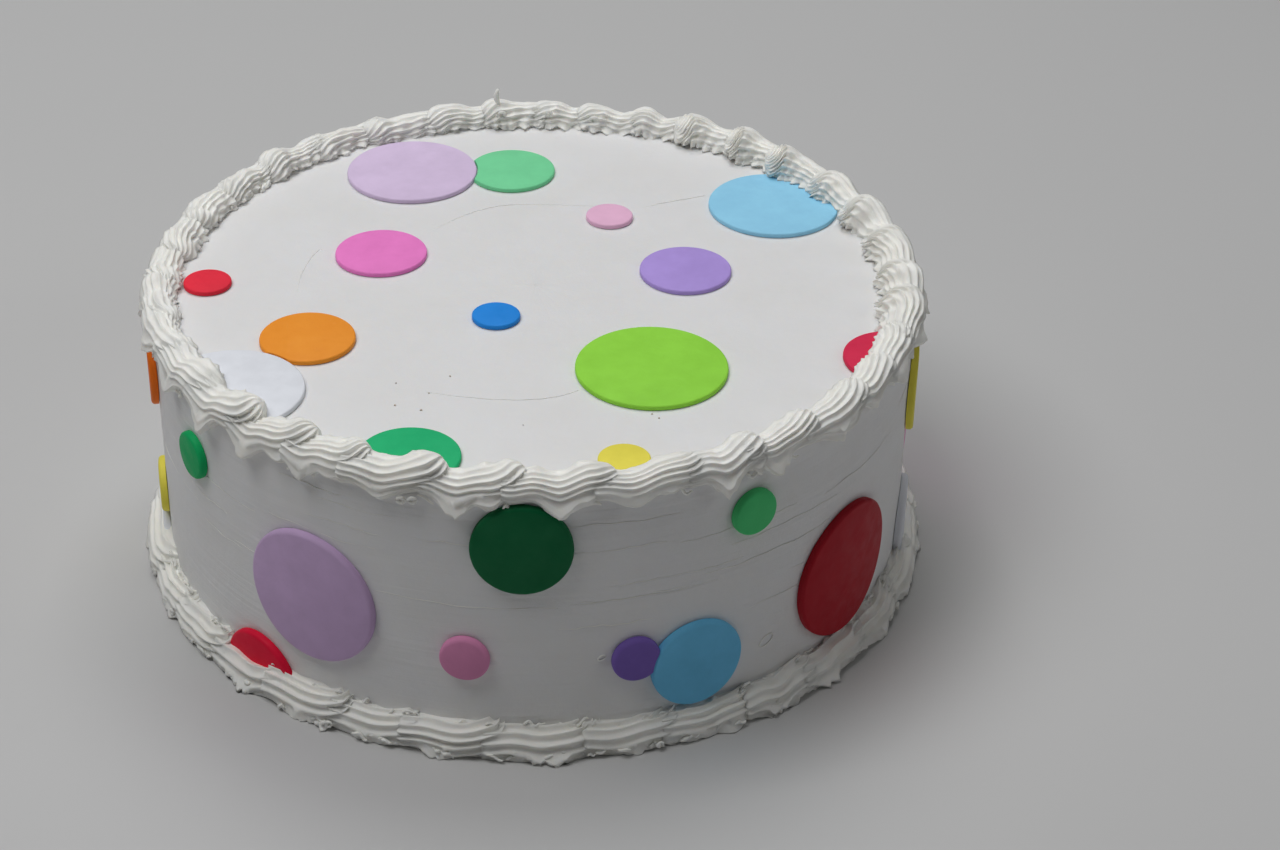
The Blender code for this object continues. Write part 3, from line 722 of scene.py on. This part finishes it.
BASE_BORDER = {
    "heads": BASE_HEADS, "seed": 23, "arcs": 2, "stations": 42, "ridges": 14,
    "buried": (160.0, 290.0), "radius": 104.6 * MM, "height": 3.2 * MM,
    "half_width": 5.8 * MM, "half_height": 5.8 * MM, "ridge_depth": 0.26, "tail_high": 0.84,
    "tail_low": 0.92, "head_length": 0.15, "hook_length": 0.30, "yaw": 40.0, "pitch": 10.0,
    "calm_heading": lower_heading, "start_out": 0.0, "dome": 0.0, "slim": none_of_it,
    "plain": none_of_it, "cut_off": none_of_it, "domed": (-180.0, 360.0), "calm": 1.0,
    "skirt": 0.0, "flute": 2.5 * MM, "twist": 0.18, "sway": 0.05, "wave": 0.25 * MM,
    "dip": 0.6 * MM, "lip": 1.5 * MM, "lip_angle": 338.0, "rag": 0.9, "swirl": 0.9,
    "teeth": 1.0 * MM, "fold_depth": 0.12, "inner_width": 0.0, "bulge": 0.06, "overhang": 1.6,
    "tuck": 2.4, "floor": 0.0, "wild": lower_wild,
}


# Wisps of icing
def tube(path, thickness):
    """A thread of icing along a path (n, 3), tapering at both ends, as a grid of points."""
    path = np.asarray(path)
    count = len(path)
    along = np.gradient(path, axis=0)
    along /= np.linalg.norm(along, axis=1)[:, None] + 1e-12
    helper = np.array([0.0, 0.0, 1.0]) + 0.3 * path[0] / np.linalg.norm(path[0])
    across = np.cross(along, helper)
    across /= np.linalg.norm(across, axis=1)[:, None] + 1e-12
    other = np.cross(along, across)
    taper = np.sin(math.pi * np.linspace(0.06, 0.94, count)) ** 0.5
    turn = np.linspace(0, math.tau, THREAD_SIDES, endpoint=False)
    ring = across[:, None, :] * np.cos(turn)[None, :, None]
    ring = ring + other[:, None, :] * np.sin(turn)[None, :, None]
    points = path[:, None, :] + ring * (thickness * taper)[:, None, None]
    points[..., 2] = np.maximum(points[..., 2], 0.0)
    return points


def on_cake(angle, radius, height):
    """Points from angles round the cake in degrees, radii and heights."""
    turn = np.radians(angle)
    return np.stack([radius * np.sin(turn), -radius * np.cos(turn), height + 0 * turn], -1)


def curl(angle, radius, height, size, turns, lean):
    """A small spiral against the border: lean tips its plane outwards, in degrees."""
    a = np.linspace(0.0, math.tau * turns, 22)
    r = size * (1.0 - 0.62 * a / a[-1])
    sideways = r * np.cos(a)
    up = r * np.sin(a)
    return on_cake(angle + np.degrees(sideways / radius),
                   radius + up * math.sin(math.radians(lean)) + 0.25 * MM * np.sin(a / 2),
                   height + up * math.cos(math.radians(lean)))


def thread(rand, angle, radius, height, length, wander):
    """A short wavering wisp that runs along the border."""
    u = np.linspace(-0.5, 0.5, 12)
    waves = rand.uniform(0.6, 1.8)
    phase = rand.uniform(0, math.tau)
    slope = rand.uniform(-0.5, 0.5)
    return on_cake(angle + np.degrees(u * length / radius),
                   radius + 0.5 * wander * np.cos(math.tau * waves * u + phase),
                   height + wander * np.sin(math.tau * waves * u + phase) + slope * u * length)


def scattered(rand, count, base, angles, bands):
    """Threads at random in bands: radius, height above base, length, wander and thickness, mm."""
    radii, heights, lengths, wanders, thicknesses = bands
    paths = []
    for _ in range(count):
        angle = rand.uniform(*angles)
        radius = rand.uniform(*radii) * MM
        height = base + rand.uniform(*heights) * MM
        length = rand.uniform(*lengths) * MM
        wander = rand.uniform(*wanders) * MM
        path = thread(rand, angle, radius, height, length, wander)
        paths.append((path, rand.uniform(*thicknesses) * MM))
    return paths


def wisps(name, node, paths):
    """One piece from paths, each with its thickness."""
    verts, faces = [], []
    for path, thickness in paths:
        points = tube(path, thickness)
        rows, columns = points.shape[:2]
        faces += grid_faces(rows, columns, sum(len(v) for v in verts))
        verts.append(np.concatenate([points.reshape(-1, 3), path[:1], path[-1:]]))
    made = mesh_object(name, np.concatenate(verts), faces)
    facing_out(made)
    made.data.materials.append(piped_icing_with_painted_light(name))
    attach(made, "root")
    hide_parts(node)


def upper_wisps():
    """Loose ends and curls at the upper border, with the one spike at the back."""
    rand = random.Random(5)
    paths = [
        (curl(-18.0, 105.7 * MM, CAKE_HEIGHT - 2.3 * MM, 1.1 * MM, 1.5, 10), 0.55 * MM),
        (curl(-16.4, 105.7 * MM, CAKE_HEIGHT - 1.9 * MM, 1.1 * MM, 1.4, 10), 0.5 * MM),
    ]
    paths += scattered(rand, 36, CAKE_HEIGHT, (-125, 125), (
        (104.4, 105.4), (-1.2, -2.6), (2.0, 5.0), (0.2, 0.7), (0.35, 0.6)))
    paths += scattered(rand, 30, CAKE_HEIGHT, (60, 310), (
        (96.2, 97.4), (0.4, 2.2), (1.6, 3.6), (0.3, 0.8), (0.4, 0.7)))
    for head in TOP_HEADS:
        if 70 < head < 190 and rand.random() < 0.7:
            height = CAKE_HEIGHT + rand.uniform(3.2, 5.0) * MM
            size = rand.uniform(1.2, 1.9) * MM
            turns = rand.uniform(1.0, 1.7)
            paths.append((curl(head - 2.0, 96.2 * MM, height, size, turns, 160), 0.5 * MM))
    spike = np.linspace(0, 1, 9)
    paths.append((on_cake(186.2 + 0.4 * np.sin(3 * spike), (99.5 + 0.5 * spike) * MM,
                          CAKE_HEIGHT + (6.5 + 5.0 * spike) * MM), 0.9 * MM))
    wisps("upper_wisps", "top_border", paths)


def lower_wisps():
    """Loose ends and curls above and outside the lower border."""
    rand = random.Random(6)
    paths = scattered(rand, 150, 0.0, (-180, 180), (
        (104.2, 105.4), (6.8, 8.6), (2.0, 5.5), (0.2, 0.7), (0.3, 0.6)))
    paths += scattered(rand, 110, 0.0, (-180, 180), (
        (109.0, 110.4), (0.8, 2.4), (2.0, 4.5), (0.1, 0.5), (0.4, 0.75)))
    for head in BASE_HEADS:
        if rand.random() < 0.85:
            paths.append((curl(head - 1.0, 105.2 * MM, rand.uniform(8.2, 9.4) * MM,
                               rand.uniform(0.9, 1.5) * MM, rand.uniform(0.9, 1.4), 20), 0.42 * MM))
        if rand.random() < 0.45:
            paths.append((curl(head - rand.uniform(1, 5), 110.0 * MM, 1.9 * MM,
                               rand.uniform(0.8, 1.2) * MM, rand.uniform(0.9, 1.4), 0), 0.5 * MM))
    wisps("lower_wisps", "base_border", paths)


# Marks on the icing
def wiggly(rand, count, size):
    """Small slow offsets along a line."""
    u = np.linspace(0, 1, count)
    return size * (np.sin(math.tau * (rand.uniform(0.7, 2.0) * u + rand.random()))
                   + 0.5 * np.sin(math.tau * (rand.uniform(3.0, 6.0) * u + rand.random())))


def top_line(points, rand):
    """A line on the top of the cake through a few points, smoothed."""
    points = np.array(points) * MM
    ends = np.linspace(0, 1, len(points))
    u = np.linspace(0, 1, 60)
    order = min(3, len(points) - 1)
    x = np.polyval(np.polyfit(ends, points[:, 0], order), u)
    y = np.polyval(np.polyfit(ends, points[:, 1], order), u)
    return np.stack([x, y + wiggly(rand, 60, 0.12 * MM), 0 * x + CAKE_HEIGHT - 0.10 * MM], -1)


def side_line(start, end, height, rand):
    """A line round part of the side, between two angles at one height."""
    angle = np.linspace(start, end, 60)
    radius = 103.92 * MM + wiggly(rand, 60, 0.03 * MM)
    return on_cake(angle, radius, height * MM + wiggly(rand, 60, 0.25 * MM))


def crumbs(rand):
    """Crumbs lying on the top."""
    shape = bmesh.new()
    for x, y, size in CRUMBS:
        crumb = bmesh.ops.create_icosphere(shape, subdivisions=2, radius=0.75 * size * MM)
        for vert in crumb["verts"]:
            vert.co *= 1.0 + 0.25 * rand.uniform(-1, 1)
            vert.co.z *= 0.6
            vert.co += Vector((x * MM, y * MM, CAKE_HEIGHT))
    made = disc_object("crumbs", shape, (0, 0, 0), 0)
    made.data.shade_smooth()
    made.data.materials.append(paste_material("crumb", CRUMB_COLOUR))
    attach(made, "root")
    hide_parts("cake_body")


def marks():
    """Hairlines that the scraper left, two ring marks on the side, and crumbs on the top."""
    rand = random.Random(8)
    paths = []
    for points, size in zip(TOP_GROOVES, (0.11, 0.10, 0.06)):
        paths.append((top_line(points, rand), size * MM))
    paths.append((top_line(TOP_SCRATCH, rand), 0.17 * MM))
    for start, end, height in SIDE_LINES:
        paths.append((side_line(start, end, height, rand), 0.10 * MM))
    for _ in range(44):
        start = rand.uniform(-180, 180)
        end = start + rand.uniform(6, 24)
        line = side_line(start, end, rand.uniform(12, 70), rand)
        paths.append((line, rand.uniform(0.09, 0.12) * MM))
    for angle, height, size in SIDE_RINGS:
        a = np.linspace(0, math.tau, 30)
        across = angle + np.degrees(size * MM * np.cos(a) / CAKE_RADIUS)
        level = (height + 0.75 * size * np.sin(a + 0.4)) * MM
        paths.append((on_cake(across, 104.0 * MM, level), 0.22 * MM))
    wisps("scraper_marks", "cake_body", paths)
    crumbs(rand)


# Sugar dots
def disc_shape(radius, thickness, edge, sides, wrap=None, seed=0):
    """A bmesh disc with a rounded upper rim; wrap bends it round the cake's side."""
    rand = random.Random(seed)
    wobble = [rand.uniform(-1, 1) for _ in range(6)]
    shape = bmesh.new()
    rings = [(0.0, 0.0), (0.0, thickness - edge)]
    for a in (30, 60, 90):
        rings.append((edge * (1 - math.cos(math.radians(a))),
                      thickness - edge + edge * math.sin(math.radians(a))))
    loops = []
    for inset, z in rings:
        loop = []
        for i in range(sides):
            a = math.tau * i / sides
            r = radius - inset
            r += 0.06 * MM * (wobble[0] * math.sin(2 * a + wobble[1]) + wobble[2] * math.sin(3 * a))
            loop.append(shape.verts.new((r * math.cos(a), r * math.sin(a), z)))
        loops.append(loop)
    for low, high in zip(loops, loops[1:]):
        for i in range(sides):
            j = (i + 1) % sides
            shape.faces.new((low[i], low[j], high[j], high[i]))
    half = sides // 2
    for loop, flip in ((loops[0], True), (loops[-1], False)):
        for i in range(half):
            ring = [loop[i], loop[i + 1], loop[(sides - i - 1) % sides], loop[(sides - i) % sides]]
            unique = list(dict.fromkeys(ring))
            if flip:
                unique.reverse()
            shape.faces.new(unique)
    bmesh.ops.recalc_face_normals(shape, faces=shape.faces[:])
    if wrap is not None:
        for vert in shape.verts:
            turn = vert.co.x / (wrap + thickness)
            reach = wrap + vert.co.z
            vert.co = (reach * math.sin(turn), -reach * math.cos(turn), vert.co.y)
    return shape


def disc_object(name, shape, location, turn):
    """An object from a bmesh, turned about Z in degrees and moved."""
    mesh = bpy.data.meshes.new(name)
    matrix = Matrix.Translation(location) @ Matrix.Rotation(math.radians(turn), 4, "Z")
    shape.transform(matrix)
    shape.to_mesh(mesh)
    shape.free()
    made = bpy.data.objects.new(name, mesh)
    bpy.context.scene.collection.objects.link(made)
    return made


def cut(obj, operation, cutter):
    """Apply a Boolean to an object and remove its cutter."""
    modifier = obj.modifiers.new("cut", "BOOLEAN")
    modifier.operation = operation
    modifier.object = cutter
    bpy.context.view_layer.update()
    graph = bpy.context.evaluated_depsgraph_get()
    mesh = bpy.data.meshes.new_from_object(obj.evaluated_get(graph))
    obj.modifiers.clear()
    obj.data = mesh
    bpy.data.objects.remove(cutter)


def drum(name, radius, low, high):
    """A cutter: a cylinder about the cake's axis between two heights."""
    shape = bmesh.new()
    bmesh.ops.create_cone(shape, cap_ends=True, segments=180, radius1=radius, radius2=radius,
                          depth=high - low)
    bmesh.ops.translate(shape, verts=shape.verts[:], vec=(0, 0, (high + low) / 2))
    return disc_object(name, shape, (0, 0, 0), 0)


def dress_dot(dot, node, colour):
    """A dot's shading, paste, body, node and slot."""
    dot.data.shade_smooth()
    dot.data.set_sharp_from_angle(angle=SHARP_ANGLE)
    dot.data.materials.append(paste_material(node + "_paste", colour))
    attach(dot, "root")
    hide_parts(node)


def top_dots():
    """Dots lying on the top, trimmed where they reach the border or another dot."""
    rows = {row[0]: row for row in TOP_DOTS}
    for i, (node, x, y, radius, colour) in enumerate(TOP_DOTS):
        shape = disc_shape(radius * MM, TOP_DOT_THICKNESS, TOP_DOT_EDGE, DOT_SIDES, seed=i)
        dot = disc_object(node + "_disc", shape, (x * MM, y * MM, CAKE_HEIGHT + DOT_LIFT), 0)
        if math.hypot(x, y) + radius > TOP_DOT_REACH / MM:
            trim = drum("trim", TOP_DOT_REACH, CAKE_HEIGHT - 0.01, CAKE_HEIGHT + 0.01)
            cut(dot, "INTERSECT", trim)
        if node in TOP_BITES:
            _, bite_x, bite_y, bite_radius, _ = rows[TOP_BITES[node]]
            bite = disc_shape(bite_radius * MM + GAP, 6 * MM, BITE_EDGE, DOT_SIDES)
            place = (bite_x * MM, bite_y * MM, CAKE_HEIGHT - 2 * MM)
            cut(dot, "DIFFERENCE", disc_object("bite", bite, place, 0))
        dress_dot(dot, node, colour)


def side_dots():
    """Dots bent round the side, trimmed where they reach the lower border or another dot."""
    rows = {row[0]: row for row in SIDE_DOTS}
    for i, (node, angle, height, radius, colour) in enumerate(SIDE_DOTS):
        shape = disc_shape(radius * MM, SIDE_DOT_THICKNESS, SIDE_DOT_EDGE, DOT_SIDES,
                           wrap=CAKE_RADIUS + DOT_LIFT, seed=40 + i)
        dot = disc_object(node + "_disc", shape, (0, 0, height * MM), angle)
        if height - radius < SIDE_DOT_FLOOR / MM:
            cut(dot, "DIFFERENCE", drum("trim", 0.13, -0.02, SIDE_DOT_FLOOR))
        if node in SIDE_BITES:
            _, bite_angle, bite_height, bite_radius, _ = rows[SIDE_BITES[node]]
            bite = disc_shape(bite_radius * MM + GAP, 8 * MM, BITE_EDGE, DOT_SIDES,
                              wrap=CAKE_RADIUS - 2 * MM)
            place = (0, 0, bite_height * MM)
            cut(dot, "DIFFERENCE", disc_object("bite", bite, place, bite_angle))
        dress_dot(dot, node, colour)


# Stage and camera
# Each lamp's name, size in metres, power in watts and place. All aim low at the cake's middle.
LAMPS = (
    ("key", 0.8, 9.0, (-0.55, -0.2, 1.35)),
    ("rear", 0.8, 7.8, (0.0, 0.6, 1.35)),
    ("fill", 0.6, 1.9, (1.35, -0.35, 0.9)),
)
LAMP_AIM = (0.0, 0.0, 0.05)
# The camera, solved from the outline of the cake in the photograph, with its angles in radians.
CAMERA_LENS = 72.92
CAMERA_PLACE = (0.0, -0.61867, 0.43062)
ELEVATION = 0.518716505
PAN = -0.0403678207
TILT = -0.0542106024
ROLL = -0.0031744479


def lamp(name, size, power, location):
    """A square area lamp aimed at the cake."""
    data = bpy.data.lights.new(name, "AREA")
    data.shape = "SQUARE"
    data.size = size
    data.energy = power
    made = bpy.data.objects.new(name, data)
    made.location = location
    direction = Vector(LAMP_AIM) - Vector(location)
    made.rotation_euler = direction.to_track_quat("-Z", "Y").to_euler()
    bpy.context.scene.collection.objects.link(made)


def stage():
    """A plain pale floor and soft studio light."""
    shape = bmesh.new()
    bmesh.ops.create_grid(shape, x_segments=1, y_segments=1, size=6.0)
    floor = disc_object("floor", shape, (0, 0, -0.0002), 0)
    n = Nodes("floor_paper")
    n.shader.inputs["Roughness"].default_value = 0.9
    tone = n.noise(3.0, 2.0)
    n.link(n.mix(tone, (0.56, 0.56, 0.56), (0.60, 0.60, 0.60)), n.shader.inputs["Base Color"])
    floor.data.materials.append(n.material)

    world = bpy.data.worlds.new("studio")
    bpy.context.scene.world = world
    world.use_nodes = True
    background = world.node_tree.nodes["Background"]
    background.inputs["Color"].default_value = (0.93, 0.97, 1.0, 1.0)
    background.inputs["Strength"].default_value = 0.02

    for row in LAMPS:
        lamp(*row)


def camera():
    """The camera at the photograph's viewing angle."""
    data = bpy.data.cameras.new("camera")
    data.sensor_fit = "HORIZONTAL"
    data.sensor_width = 36.0
    data.lens = CAMERA_LENS
    data.clip_start = 0.01
    made = bpy.data.objects.new("camera", data)
    turned = Matrix.Rotation(math.pi / 2 - ELEVATION, 4, "X")
    turned = turned @ Matrix.Rotation(ROLL, 4, "Z")
    turned = turned @ Matrix.Rotation(PAN, 4, "Y")
    turned = turned @ Matrix.Rotation(TILT, 4, "X")
    made.matrix_world = Matrix.Translation(CAMERA_PLACE) @ turned
    bpy.context.scene.collection.objects.link(made)
    bpy.context.scene.camera = made


bpy.context.scene.view_settings.view_transform = "Standard"
camera()
stage()
iced_body()
piped_ring("upper_piping", "top_border", TOP_BORDER)
piped_ring("lower_piping", "base_border", BASE_BORDER)
upper_wisps()
lower_wisps()
marks()
top_dots()
side_dots()
